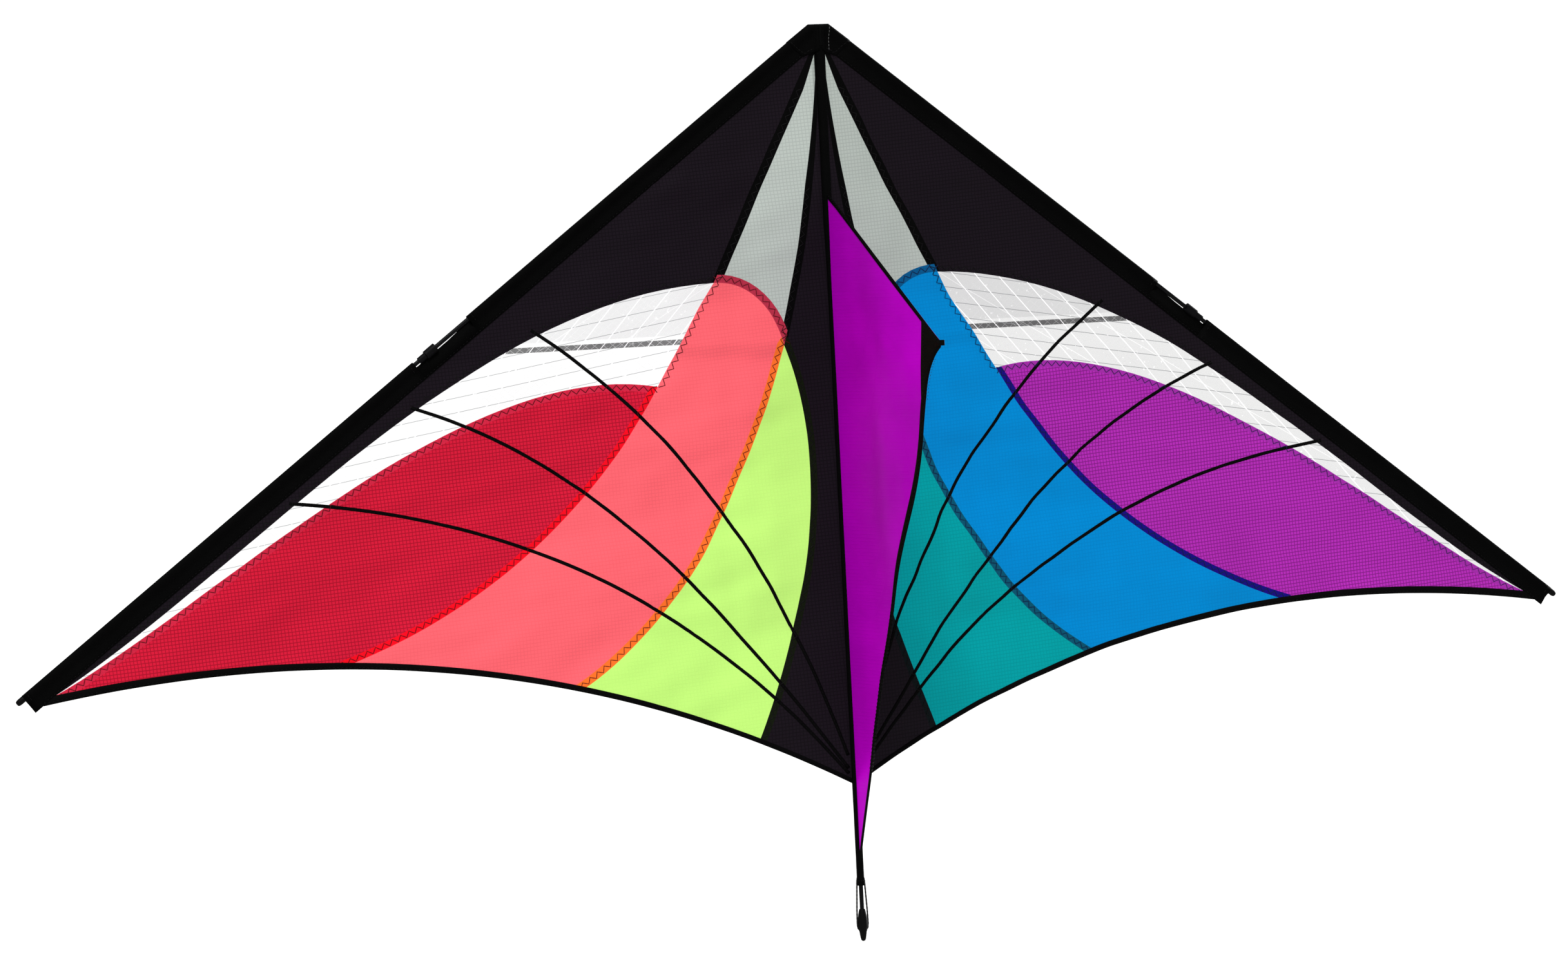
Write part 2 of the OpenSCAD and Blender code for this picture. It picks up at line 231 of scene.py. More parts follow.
def film(name, tint, alpha, lattice_tint):
    """Clear laminated film: a fine lattice, grey threads one way and white ones crossing them."""
    s = Shader(name)
    out = s.math("ABSOLUTE", s.x)
    grey = s.stripes(-9, 13.4 * MM, 0.55 * MM, out)
    shallow = s.math("MULTIPLY", s.stripes(-30, 37 * MM, 0.5 * MM, out), 0.5)
    white = s.math("MAXIMUM", s.stripes(-48, 17 * MM, 0.7 * MM, out), shallow)
    one_way = s.stripes(38, 5.5 * MM, 0.5 * MM, out)
    lattice = s.math("MAXIMUM", one_way, s.stripes(-38, 5.5 * MM, 0.5 * MM, out))
    bubbles = s.noise(260, 2)
    spots = s.math("MULTIPLY", s.math("GREATER_THAN", bubbles, 0.7), 0.4)
    white = s.math("MAXIMUM", white, spots)
    base = s.mix(lattice, linear(tint, tint, tint), linear(lattice_tint, lattice_tint, lattice_tint))
    base = s.mix(grey, base, linear(120, 122, 124))
    base = s.mix(white, base, (1, 1, 1, 1))
    cover = s.math("MAXIMUM", s.math("MULTIPLY_ADD", grey, 0.5, alpha), s.math("MULTIPLY", lattice, 0.62))
    cover = s.math("MAXIMUM", cover, s.math("MULTIPLY", white, 0.85))
    crinkle = s.noise(45, 3, (0.7, 1, 1.5))
    height = s.math("MULTIPLY_ADD", crinkle, 2.0, s.math("MULTIPLY", s.math("ADD", grey, white), 0.3))
    normal = s.bump(height, 0.25, 0.0008)
    surface = s.principled(base, 0.22, normal, 0.5, Alpha=cover)
    return s.finish(surface)


def rod(name, color, metallic=0.0, roughness=0.3):
    """A drawn rod or tube: fine streaks along it and faint wear."""
    s = Shader(name)
    streaks = s.noise(420, 3, (1, 1, 0.02))
    wear = s.noise(26, 4)
    base = linear(*color)
    shade = s.mix(s.math("MULTIPLY", streaks, 0.5), base, scaled(base, 0.45))
    shade = s.mix(s.math("MULTIPLY", s.math("POWER", wear, 4.0), 0.8), shade, scaled(base, 1.9))
    rough = s.math("MULTIPLY_ADD", wear, 0.25, roughness - 0.1)
    normal = s.bump(streaks, 0.15, 0.0002)
    return s.finish(s.principled(shade, rough, normal, 0.5 if metallic else 0.05, Metallic=metallic))


def moulded(name, color, roughness):
    """Moulded plastic or vinyl: a fine grain, with scuffs that are paler and rougher."""
    s = Shader(name)
    fine = s.noise(700, 3)
    scuff = s.noise(70, 5)
    scuffs = s.math("MULTIPLY", s.math("POWER", scuff, 4.0), 0.9)
    base = linear(*color)
    shade = s.mix(scuffs, base, scaled(base, 3.0))
    rough = s.math("MULTIPLY_ADD", scuff, 0.3, roughness - 0.15)
    normal = s.bump(fine, 0.3, 0.0002)
    return s.finish(s.principled(shade, rough, normal, 0.04))


def braid(name, color):
    """Braided elastic: crossed ribs round the cord."""
    s = Shader(name)
    a = s.stripes(35, 1.1 * MM, 0.5 * MM)
    b = s.stripes(-35, 1.1 * MM, 0.5 * MM)
    ribs = s.math("MAXIMUM", a, b)
    base = linear(*color)
    shade = s.mix(s.math("MULTIPLY", ribs, 0.7), base, scaled(base, 3.0))
    shade = s.mix(s.math("MULTIPLY", s.noise(300, 2), 0.3), shade, scaled(base, 0.4))
    return s.finish(s.principled(shade, 0.7, s.bump(ribs, 0.6, 0.0003), 0.1))


def thread(name, color):
    """Sewing thread, twisted."""
    s = Shader(name)
    twist = s.stripes(50, 0.5 * MM, 0.25 * MM)
    base = linear(*color)
    shade = s.mix(s.math("MULTIPLY", twist, 0.45), base, scaled(base, 0.4))
    shade = s.mix(s.math("MULTIPLY", s.noise(400, 2), 0.35), shade, scaled(base, 1.7))
    return s.finish(s.principled(shade, 0.55, s.bump(twist, 0.4, 0.0001), 0.06))


MATERIALS = {
    "red": ripstop("ripstop_red", (209, 27, 56), lines=0.65),
    "coral": ripstop("ripstop_coral", (251, 101, 111), lines=0.13),
    "lime": ripstop("ripstop_lime", (191, 243, 120), lines=0.04),
    # From here on, the stronger cloudy patches are partly painted fold shade.
    "magenta": ripstop("ripstop_magenta", (182, 46, 184), lines=0.8, mottle_and_fold_shade=0.3),
    "blue": ripstop("ripstop_blue", (2, 139, 213), lines=0.14, mottle_and_fold_shade=0.3),
    "teal": ripstop("ripstop_teal", (3, 162, 167), lines=0.2, mottle_and_fold_shade=0.35),
    "grey": ripstop("ripstop_grey", (181, 189, 183), lines=0.22, mottle_and_fold_shade=0.25),
    # The keel's purple takes the strongest patches, which paint streaks of highlight and shade across it.
    "purple": ripstop(
        "ripstop_purple", (194, 0, 206), lines=0.04, through=0.28, mottle_and_fold_shade=0.6, specular=0.02,
    ),
    "charcoal": ripstop("ripstop_charcoal", (24, 18, 25), lines=0.6, through=0.25, specular=0.04),
    "coral_doubled": ripstop("doubled_coral_on_grey", (176, 48, 70), lines=0.15),
    "blue_doubled": ripstop("doubled_blue_on_grey", (10, 88, 140), lines=0.15),
    "red_doubled": ripstop("doubled_red_on_coral", (240, 12, 32), lines=0.05),
    "navy_doubled": ripstop("doubled_magenta_on_blue", (25, 14, 125), lines=0.1),
    "orange_doubled": ripstop("doubled_coral_on_lime", (246, 112, 42), lines=0.05),
    "teal_doubled": ripstop("doubled_blue_on_teal", (12, 84, 110), lines=0.1),
    "red_on_film": ripstop("doubled_red_on_film", (205, 38, 66), lines=0.12),
    "magenta_on_film": ripstop("doubled_magenta_on_film", (160, 45, 165), lines=0.1),
    "lime_under_black": ripstop(
        "doubled_black_on_lime", (16, 22, 8), lines=0.3, through=0.25, specular=0.05,
    ),
    "teal_under_black": ripstop(
        "doubled_black_on_teal", (8, 18, 20), lines=0.3, through=0.25, specular=0.05,
    ),
    "black_band": weave("black_seam_band", (4, 4, 4)),
    "sleeve": weave("sleeve_polyester", (3, 3, 3), pitch=1.1),
    "hem": weave("hem_tape", (5, 5, 5), pitch=0.8),
    "webbing": weave("reinforcing_webbing", (6, 6, 6), pitch=1.4),
    # Both wings carry the same laminate. The right copy's darker tint, darker lattice and heavier cover are
    # painted shade.
    "film_left": film("clear_laminate_left", 166, 0.34, 198),
    "film_right": film("clear_laminate_right_shaded", 122, 0.45, 160),
    "thread_dark": thread("thread_dark_red", (70, 8, 14)),
    "thread_blue": thread("thread_dark_blue", (8, 26, 60)),
    "thread_black": thread("thread_black", (12, 11, 12)),
    "thread_pale": thread("thread_pale", (92, 92, 92)),
    "rod_black": rod("glass_fibre_rod", (6, 6, 7)),
    "ferrule_metal": rod("ferrule_tube", (128, 130, 134), metallic=1.0, roughness=0.4),
    "cap_vinyl": moulded("cap_vinyl", (5, 5, 5), 0.55),
    "moulding_black": moulded("moulded_nylon", (5, 5, 6), 0.5),
    "elastic_black": braid("braided_elastic", (7, 7, 7)),
}

# ---------- curves of the sail, in mm in a wing's own plane: u out from the spine, z up ----------
NOSE_H, NOSE_U, TIP_U, TIP_H = 854, 10, 778, 279
EDGE_ANGLE = math.atan2(NOSE_H - TIP_H, TIP_U - NOSE_U)
EDGE_LEN = math.hypot(NOSE_H - TIP_H, TIP_U - NOSE_U)
SLEEVE_W = 20
ROD_IN = 3.2
GAP_START, GAP_END = 424, 490
ROOT_U = 5
TUCK_U = 3.0
SPINE_R = 3.5


def bezier(p, t):
    s = 1 - t
    weights = (s ** 3, 3 * s * s * t, 3 * s * t * t, t ** 3)
    return tuple(sum(w * q[i] for w, q in zip(weights, p)) for i in (0, 1))


def curve(p, start=0.0, end=1.0, steps=44):
    return [bezier(p, start + (end - start) * i / steps) for i in range(steps + 1)]


def straight(a, b, steps):
    return [tuple(a[i] + (b[i] - a[i]) * k / steps for i in (0, 1)) for k in range(steps + 1)]


def edge_point(along, inward):
    """A point by its distance along a leading edge and square to it, towards the sail."""
    c, s = math.cos(EDGE_ANGLE), math.sin(EDGE_ANGLE)
    return (NOSE_U + along * c - inward * s, NOSE_H - along * s - inward * c)


def under_sleeve(u, inward=SLEEVE_W):
    return (u, NOSE_H - (u - NOSE_U) * math.tan(EDGE_ANGLE) - inward / math.cos(EDGE_ANGLE))


def inward_of(u, z):
    """Distance from the leading edge, square to it."""
    return (NOSE_H - (u - NOSE_U) * math.tan(EDGE_ANGLE) - z) * math.cos(EDGE_ANGLE)


APEX = under_sleeve(ROOT_U)
GUSSET_FOOT = (113, 619)
CLEAR_CORNER = (171, 526)
INNER_TOP = (48, 558)
CENTRE_TOP = (ROOT_U, 800)
TIP_SEAM = under_sleeve(746)
TUCK = 3
HEM_CURVE = [TIP_SEAM, (490, 308), (240, 276 + TUCK), (ROOT_U, 147 + TUCK)]
EDGE_CURVE = [under_sleeve(758), (495, 311), (240, 276), (ROOT_U, 147)]
HEM_OUTER, HEM_MIDDLE, HEM_INNER = 0.35, 0.65, 0.88

SEAMS = {
    "leading": curve([GUSSET_FOOT, (345, 615), (565, 380), TIP_SEAM]),
    "clear": curve([CLEAR_CORNER, (355, 565), (605, 345), TIP_SEAM]),
    "outer": curve([CLEAR_CORNER, (240, 410), (345, 330), bezier(HEM_CURVE, HEM_OUTER)]),
    "middle": curve([INNER_TOP, (90, 440), (140, 320), bezier(HEM_CURVE, HEM_MIDDLE)]),
    "inner": curve([INNER_TOP, (5, 435), (40, 310), bezier(HEM_CURVE, HEM_INNER)]),
    "arc": curve([GUSSET_FOOT, (75, 620), (55, 590), INNER_TOP], steps=24),
    "gusset_inner": curve([CENTRE_TOP, (10, 720), (25, 635), INNER_TOP], steps=30),
    "gusset_edge": straight(APEX, GUSSET_FOOT, 30),
    "clear_side": straight(GUSSET_FOOT, CLEAR_CORNER, 16),
    "spine_edge": straight((TUCK_U, CENTRE_TOP[1] - 4), (TUCK_U, APEX[1]), 12),
    "hem_outer": curve(HEM_CURVE, 0, HEM_OUTER, 30),
    "hem_middle": curve(HEM_CURVE, HEM_OUTER, HEM_MIDDLE, 24),
    "hem_inner": curve(HEM_CURVE, HEM_MIDDLE, HEM_INNER, 20),
    "hem_centre": curve(HEM_CURVE, HEM_INNER, 1, 14),
}
# The black bands beside the gusset run out to nothing at the nose
SEAMS["edge_band"] = [(u + max(0.0, 5 - i), z) for i, (u, z) in enumerate(SEAMS["gusset_edge"])]
SEAMS["inner_band"] = [(u - max(0.0, 4 - i / 3), z) for i, (u, z) in enumerate(SEAMS["gusset_inner"])]
TAPES = [
    [(289, 584), (145, 485), (65, 350), (6, 174)],
    [(405, 519), (235, 460), (130, 335), (6, 162)],
    [(523, 438), (320, 415), (150, 335), (6, 157)],
]


def joined(*lines):
    """A closed outline from lines that follow each other; a name with a minus runs backwards."""
    points = []
    for item in lines:
        if isinstance(item, str):
            item = SEAMS[item[1:]][::-1] if item[0] == "-" else SEAMS[item]
        for p in item:
            if not points or math.dist(p, points[-1]) > 0.05:
                points.append(p)
    if math.dist(points[0], points[-1]) < 0.05:
        points.pop()
    return points


# ---------- where a point of the cloth lies ----------
BELLY = 4.5
LONG_FOLD, SHORT_FOLD, UPRIGHT_FOLD = 6.5, 3.0, 1.2


def billow(u, z):
    """How far the cloth stands behind the wing's plane, in mm: nothing at the rods, most in the middle."""
    out = max(0.0, u - ROOT_U)
    inward = max(0.0, inward_of(u, z) - SLEEVE_W)
    hold = (1 - math.exp(-out / 95)) * (1 - math.exp(-inward / 80))
    calm = min(1.0, out / 70) * min(1.0, inward / 14)
    long_fold = noise.noise(Vector((u / 170, z / 60 + u / 260, 0.4))) * LONG_FOLD
    short_fold = noise.noise(Vector((u / 60 + 7, z / 22 + u / 90, 1.7))) * SHORT_FOLD
    upright_fold = noise.noise(Vector((u / 20, z / 120, 4.2))) * UPRIGHT_FOLD * math.exp(-out / 220)
    return BELLY * hold + calm * (long_fold + short_fold + upright_fold)


def on_wing(side, u, z, back):
    x = u * math.cos(LEAN) - back * math.sin(LEAN)
    y = u * math.sin(LEAN) + back * math.cos(LEAN)
    return spine_point(SIDES[side] * x, y, z)


def on_sail(side):
    return lambda u, z, back: on_wing(side, u, z, billow(u, z) + back)


def flat_wing(side):
    return lambda u, z, back: on_wing(side, u, z, back)


def on_edge(side):
    """Places by distance along the leading edge, distance inwards, and distance behind the wing's plane."""
    return lambda along, inward, back: on_wing(side, *edge_point(along, inward), back)


KEEL_D, TOW_H = 257, 556
KEEL_TOP, KEEL_FOOT = (TUCK_U, 697), (TUCK_U, 72)
KEEL_TIP = (KEEL_D - 2.5, TOW_H + 1)
FRONT_SLOPE = (KEEL_TOP[1] - KEEL_TIP[1]) / (KEEL_TIP[0] - KEEL_TOP[0])
KEEL_WAVE, KEEL_RIPPLE, KEEL_LAP = 6.0, 1.2, 0.9


def on_keel(d, z, across):
    """The keel's cloth: d in front of the spine, with a slow wave across. Its back edge laps the sleeve."""
    reach = min(1.0, max(0.0, d) / 90) * min(1.0, max(0.0, KEEL_D - 14 - d) / 50)
    wave = noise.noise(Vector((d / 85, z / 130, 5.2))) * KEEL_WAVE
    ripple = noise.noise(Vector((d / 30, z / 70, 9.1))) * KEEL_RIPPLE
    below_front = KEEL_TOP[1] - (d - KEEL_TOP[0]) * FRONT_SLOPE - z
    reach *= min(1.0, max(0.0, below_front) / 70)
    lap = -KEEL_LAP * max(0.0, 1 - d / 20)
    return spine_point(across + (wave + ripple) * reach + lap, -d, z)


# ---------- meshes ----------
def make(name, verts, faces, material, body, slot=None, stands_for=()):
    mesh = bpy.data.meshes.new(name)
    mesh.from_pydata([tuple(v) for v in verts], [], [tuple(f) for f in faces])
    mesh.validate()
    mesh.update()
    mesh.polygons.foreach_set("use_smooth", [True] * len(mesh.polygons))
    piece = bpy.data.objects.new(name, mesh)
    bpy.context.scene.collection.objects.link(piece)
    mesh.materials.append(MATERIALS[material])
    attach(piece, body)
    if stands_for:
        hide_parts(*stands_for)
    return piece


def distance_to(points, line):
    """Least distance from each point to a line of points."""
    p = np.asarray(points, float)[:, None, :]
    a = np.asarray(line[:-1], float)[None]
    b = np.asarray(line[1:], float)[None]
    ab = b - a
    t = np.clip(((p - a) * ab).sum(-1) / np.maximum((ab * ab).sum(-1), 1e-9), 0, 1)
    return np.sqrt((((a + t[..., None] * ab) - p) ** 2).sum(-1)).min(1)


def inside(points, outline):
    x, y = np.asarray(points, float).T
    found = np.zeros(len(x), bool)
    for (x0, y0), (x1, y1) in zip(outline, outline[1:] + outline[:1]):
        crosses = (y0 > y) != (y1 > y)
        if y1 != y0:
            found ^= crosses & (x < (x1 - x0) * (y - y0) / (y1 - y0) + x0)
    return found


def resample(line, step):
    """Points at even steps along a line, with the direction at each."""
    p = np.asarray(line, float)
    lengths = np.concatenate([[0], np.cumsum(np.linalg.norm(np.diff(p, axis=0), axis=1))])
    count = max(2, int(round(lengths[-1] / step)) + 1)
    at = np.linspace(0, lengths[-1], count)
    q = np.stack([np.interp(at, lengths, p[:, i]) for i in range(p.shape[1])], 1)
    d = np.gradient(q, axis=0)
    return q, d / np.linalg.norm(d, axis=1)[:, None]


def beside(line, offset):
    """The line moved sideways, to its left where offset is above 0."""
    q, d = resample(line, 8)
    q = q + offset * np.stack([-d[:, 1], d[:, 0]], 1)
    return [tuple(p) for p in q]


def fill(outline, spacing, cuts=()):
    """Triangles inside an outline, over an even field of points, with edges along the cuts."""
    p = np.asarray(outline, float)
    low, high = p.min(0), p.max(0)
    rows = np.arange(low[1] + spacing / 2, high[1], spacing * 0.87)
    field = []
    for k, y in enumerate(rows):
        xs = np.arange(low[0] + spacing * (0.5 if k % 2 else 1.0), high[0], spacing)
        field += [(x, y) for x in xs]
    field = np.asarray(field, float).reshape(-1, 2)
    if len(field):
        field = field[inside(field, outline)]
    for line in [outline + outline[:1], *cuts]:
        if len(field):
            field = field[distance_to(field, line) > spacing * 0.55]
    points = [Vector(q) for q in outline] + [Vector(q) for q in field]
    edges = []
    for line in cuts:
        first = len(points)
        points += [Vector(q) for q in line]
        edges += [(first + i, first + i + 1) for i in range(len(line) - 1)]
    verts, _, faces, *_ = delaunay_2d_cdt(points, edges, [list(range(len(outline)))], 1, 1e-5)
    verts = np.asarray([tuple(v) for v in verts], float)
    faces = np.asarray([tuple(f) for f in faces], int)
    centres = verts[faces].mean(1)
    faces = faces[inside(centres, outline)]
    return verts, faces


def facing(verts, faces, direction):
    """The faces, turned so that each looks along direction."""
    turned = []
    for f in faces:
        a, b, c = (verts[i] for i in f[:3])
        normal = (b - a).cross(c - a)
        turned.append(tuple(f) if normal.dot(direction) > 0 else tuple(f)[::-1])
    return turned


def used_only(verts, faces):
    """The same faces with only the points that they use."""
    keep = sorted({i for f in faces for i in f})
    number = {old: new for new, old in enumerate(keep)}
    return [verts[i] for i in keep], [tuple(number[i] for i in f) for f in faces]


FRONT = Vector((0, -1, 0))
CLOTH_SPACING = 7.0


def cloth(name, place, outline, material, body, slot, stands_for, strips=(), look=FRONT):
    """One panel. Each strip is (name, seam, width, material): the doubled cloth along that seam."""
    cuts = []
    for _, seam, width, _ in strips:
        line = SEAMS[seam]
        for side in (width, -width):
            moved = beside(line, side)
            if inside(moved[len(moved) // 2: len(moved) // 2 + 1], outline)[0]:
                cuts.append(moved)
    flat, faces = fill(outline, CLOTH_SPACING, cuts)
    verts = [place(q[0], q[1], 0) for q in flat]
    centres = flat[faces].mean(1)
    left = np.ones(len(faces), bool)
    extra = []
    for strip_name, seam, width, strip_material in strips:
        near = left & (distance_to(centres, SEAMS[seam]) < width)
        left &= ~near
        part = facing(verts, faces[near], look)
        piece = make(strip_name, *used_only(verts, part), strip_material, body, slot=slot)
        extra.append(piece)
    part = facing(verts, faces[left], look)
    piece = make(name, *used_only(verts, part), material, body, slot=slot, stands_for=stands_for)
    return piece, extra


def band(place, line, width, thick, step, taper=1.0):
    """A folded tape along a line: flat, with rounded edges and closed ends, narrowing to taper."""
    q, d = resample(line, step)
    side = np.stack([-d[:, 1], d[:, 0]], 1)
    round_in = min(0.5, width / 4)
    ring = [
        (-width / 2, 0), (-width / 2 + round_in, -thick / 2), (width / 2 - round_in, -thick / 2),
        (width / 2, 0), (width / 2 - round_in, thick / 2), (-width / 2 + round_in, thick / 2),
    ]
    verts = []
    for i, (p, n) in enumerate(zip(q, side)):
        narrow = 1 - (1 - taper) * i / (len(q) - 1)
        for across, back in ring:
            at = p + n * across * narrow
            verts.append(place(at[0], at[1], back))
    return verts, lofted(len(q), len(ring))


def lofted(rings, sides, ends=True):
    """Faces between rings of points."""
    faces = []
    for i in range(rings - 1):
        for k in range(sides):
            a, b = i * sides + k, i * sides + (k + 1) % sides
            c, d = (i + 1) * sides + (k + 1) % sides, (i + 1) * sides + k
            faces.append((a, b, c, d))
    if ends:
        faces.append(tuple(range(sides))[::-1])
        faces.append(tuple((rings - 1) * sides + k for k in range(sides)))
    return faces


def tube(points, radius, sides):
    """A round tube along points, which are in metres; radius is in mm, one or one for each point."""
    count = len(points)
    radii = radius if hasattr(radius, "__len__") else [radius] * count
    verts, normal = [], None
    for i, p in enumerate(points):
        before = points[i - 1] if i else p
        after = points[i + 1] if i < count - 1 else p
        direction = (after - before).normalized()
        if normal is None:
            helper = Vector((0, 1, 0)) if abs(direction.y) < 0.8 else Vector((1, 0, 0))
            normal = direction.cross(helper).normalized()
        normal = (normal - direction * normal.dot(direction)).normalized()
        other = direction.cross(normal)
        for k in range(sides):
            a = 2 * math.pi * k / sides
            verts.append(p + radii[i] * MM * (math.cos(a) * normal + math.sin(a) * other))
    return verts, lofted(count, sides)


def together(parts):
    """Several meshes as one list of points and one of faces."""
    verts, faces = [], []
    for v, f in parts:
        first = len(verts)
        verts += list(v)
        faces += [tuple(i + first for i in face) for face in f]
    return verts, faces


THREAD_R = 0.4
ZIGZAG_PITCH = 8.6


def zigzag(place, line, width):
    """A zigzag thread through the cloth; it shows on both faces."""
    q, d = resample(line, ZIGZAG_PITCH / 2)
    side = np.stack([-d[:, 1], d[:, 0]], 1)
    points = []
    for i, (p, n) in enumerate(zip(q, side)):
        at = p + n * (width / 2 if i % 2 else -width / 2)
        if points:
            points.append((points[-1] + at) / 2)
        points.append(at)
    return tube([place(p[0], p[1], 0) for p in points], THREAD_R, 5)


def stitches(place, line, back, length=3.0, gap=1.0, radius=0.28):
    """A row of straight stitches, each a small spindle lying on the cloth at that height."""
    q, d = resample(line, length + gap)
    parts = []
    for p, along in zip(q[:-1], d[:-1]):
        side = np.array([-along[1], along[0]])
        ends = [p, p + along * length]
        middle = p + along * length / 2
        ring = []
        for across, out in ((1, 0), (0, 1), (-1, 0), (0, -1)):
            at = middle + side * across * radius
            ring.append(place(at[0], at[1], back + out * radius))
        verts = [place(ends[0][0], ends[0][1], back), *ring, place(ends[1][0], ends[1][1], back)]
        faces = [(0, 1 + (k + 1) % 4, 1 + k) for k in range(4)]
        faces += [(5, 1 + k, 1 + (k + 1) % 4) for k in range(4)]
        parts.append((verts, faces))
    return together(parts)


def both_faces(place, line, back, **more):
    return together([stitches(place, line, back, **more), stitches(place, line, -back, **more)])


# ---------- sail ----------
def top_of_leading():
    """The leading panel runs on inside the sleeve, to 13 mm from the edge."""
    start, end = under_sleeve(ROOT_U + 1, 13), under_sleeve(750, 13)
    return straight(start, end, 60)


def tucked(start, end):
    """The edge at the spine, which lies in the seam of the spine's sleeve."""
    return straight((TUCK_U, start), (TUCK_U, end), 30)


PANELS = {
    "leading": (joined([APEX], top_of_leading(), "-leading", "-gusset_edge"), "ripstop_charcoal"),
    "clear": (joined("leading", "-clear", "-clear_side"), "clear_laminate"),
    "outer": (joined("clear", "hem_outer", "-outer"), None),
    "middle": (joined("outer", "hem_middle", "-middle", "-arc", "clear_side"), None),
    "inner": (joined("middle", "hem_inner", "-inner"), None),
    "gusset": (
        joined("gusset_edge", "arc", "-gusset_inner", tucked(CENTRE_TOP[1], APEX[1])), "ripstop_grey",
    ),
    "centre": (
        joined("gusset_inner", "inner", "hem_centre", tucked(HEM_CURVE[-1][1], CENTRE_TOP[1])),
        "ripstop_charcoal",
    ),
}
COLORS = {
    "left": {
        "leading": "charcoal", "clear": "film_left", "outer": "red", "middle": "coral", "inner": "lime",
        "gusset": "grey", "centre": "charcoal",
    },
    "right": {
        "leading": "charcoal", "clear": "film_right", "outer": "magenta", "middle": "blue", "inner": "teal",
        "gusset": "grey", "centre": "charcoal",
    },
}
GUSSET_BANDS = [
    ("edge_band", 6.5, "black_band"), ("inner_band", 5.0, "black_band"), ("spine_edge", 2.6, "black_band"),
]
STRIPS = {
    "left": {
        "outer": [("outer", 6.0, "red_doubled"), ("clear", 6.5, "red_on_film")],
        "middle": [("middle", 7.0, "orange_doubled")],
        "gusset": [("arc", 7.5, "coral_doubled"), *GUSSET_BANDS],
        "centre": [("inner", 6.5, "lime_under_black"), ("gusset_inner", 2.0, "black_band")],
        "leading": [("gusset_edge", 2.0, "black_band")],
    },
    "right": {
        "outer": [("outer", 6.0, "navy_doubled"), ("clear", 6.5, "magenta_on_film")],
        "middle": [("middle", 6.5, "teal_doubled")],
        "gusset": [("arc", 7.5, "blue_doubled"), *GUSSET_BANDS],
        "centre": [("inner", 6.5, "teal_under_black"), ("gusset_inner", 2.0, "black_band")],
        "leading": [("gusset_edge", 2.0, "black_band")],
    },
}


def slot_of(side, panel):
    own = PANELS[panel][1]
    return own or "ripstop_" + COLORS[side][panel]


def make_sail(side):
    body = side + "_wing"
    place = on_sail(side)
    for panel, (outline, _) in PANELS.items():
        strips = [
            (f"{side}_{panel}_{seam}_strip", seam, width, material)
            for seam, width, material in STRIPS[side].get(panel, [])
        ]
        node = f"{side}_gusset" if panel == "gusset" else f"{side}_{panel}_panel"
        piece, extra = cloth(
            f"{side}_{panel}_cloth", place, outline, COLORS[side][panel], body,
            slot_of(side, panel), (node,), strips,
        )


def make_seam_threads(side):
    body = side + "_wing"
    place = on_sail(side)
    dark = "thread_dark" if side == "left" else "thread_blue"
    rows = [
        ("arc", -3.7, dark), ("clear_side", -3.2, dark), ("clear", -3.2, dark),
        ("middle", 3.4, dark), ("inner", -3.3, "thread_black"), ("outer", 3.0, dark),
        ("leading", 3.3, "thread_black"), ("edge_band", -3.0, "thread_black"),
        ("inner_band", 2.4, "thread_black"),
    ]
    for seam, offset, material in rows:
        first = 12 if seam == "inner_band" else 5 if seam == "edge_band" else 0
        line = beside(SEAMS[seam][first:], offset)
        make(f"{side}_{seam}_zigzag", *zigzag(place, line, 4.4), material, body, slot="hem_black")


TAPE_W = 3.3


def make_tapes(side):
    place = on_sail(side)
    parts = [band(place, curve(p), TAPE_W, 0.5, 6) for p in TAPES]
    make(side + "_radial_tapes", *together(parts), "hem", side + "_wing", slot="hem_black",
         stands_for=(side + "_sail_tapes",))
    rows = [both_faces(place, curve(p), 0.32, length=2.4, gap=1.2, radius=0.2) for p in TAPES]
    make(side + "_tape_stitches", *together(rows), "thread_black", side + "_wing", slot="hem_black")


HEM_IN, HEM_W = 3.4, 7.4


def make_trailing_hem(side):
    place = on_sail(side)
    body = side + "_wing"
    edge = curve(EDGE_CURVE) + [(2.4, EDGE_CURVE[-1][1] - 1.4)]
    line = beside(edge, -HEM_IN)
    make(side + "_hem_tape", *band(place, line, HEM_W, 1.0, 6, taper=0.58), "hem", body, slot="hem_black",
         stands_for=(side + "_trailing_hem",))
    row = beside(line, 1.3)
    make(side + "_hem_stitches", *both_faces(place, row, 0.55), "thread_black", body, slot="hem_black")


# ---------- leading edge sleeves ----------
TUBE_H = 3.5
FLAT_H = 0.55
FLAT_FROM = 12.5


def sleeve_half(inward):
    """Half the sleeve's thickness at that distance from its fold."""
    if inward <= ROD_IN:
        return TUBE_H * math.sqrt(max(0.0, 1 - ((ROD_IN - inward) / ROD_IN) ** 2))
    if inward < FLAT_FROM:
        turn = math.pi * (inward - ROD_IN) / (FLAT_FROM - ROD_IN)
        return FLAT_H + (TUBE_H - FLAT_H) * (math.cos(turn) + 1) / 2
    return FLAT_H


def sleeve_profile():
    """Distances inwards, and half thicknesses, round the sleeve from its inner edge and back."""
    steps = [0.0, 0.15, 0.5, 1.1, 2.0, 3.2, 4.4, 5.6, 6.8, 8.0, 9.5, 11.0, 12.5, 16.0, 19.6]
    front = [(n, -sleeve_half(n)) for n in reversed(steps[1:])]
    back = [(n, sleeve_half(n)) for n in steps]
    return [(SLEEVE_W, 0.0)] + front + back


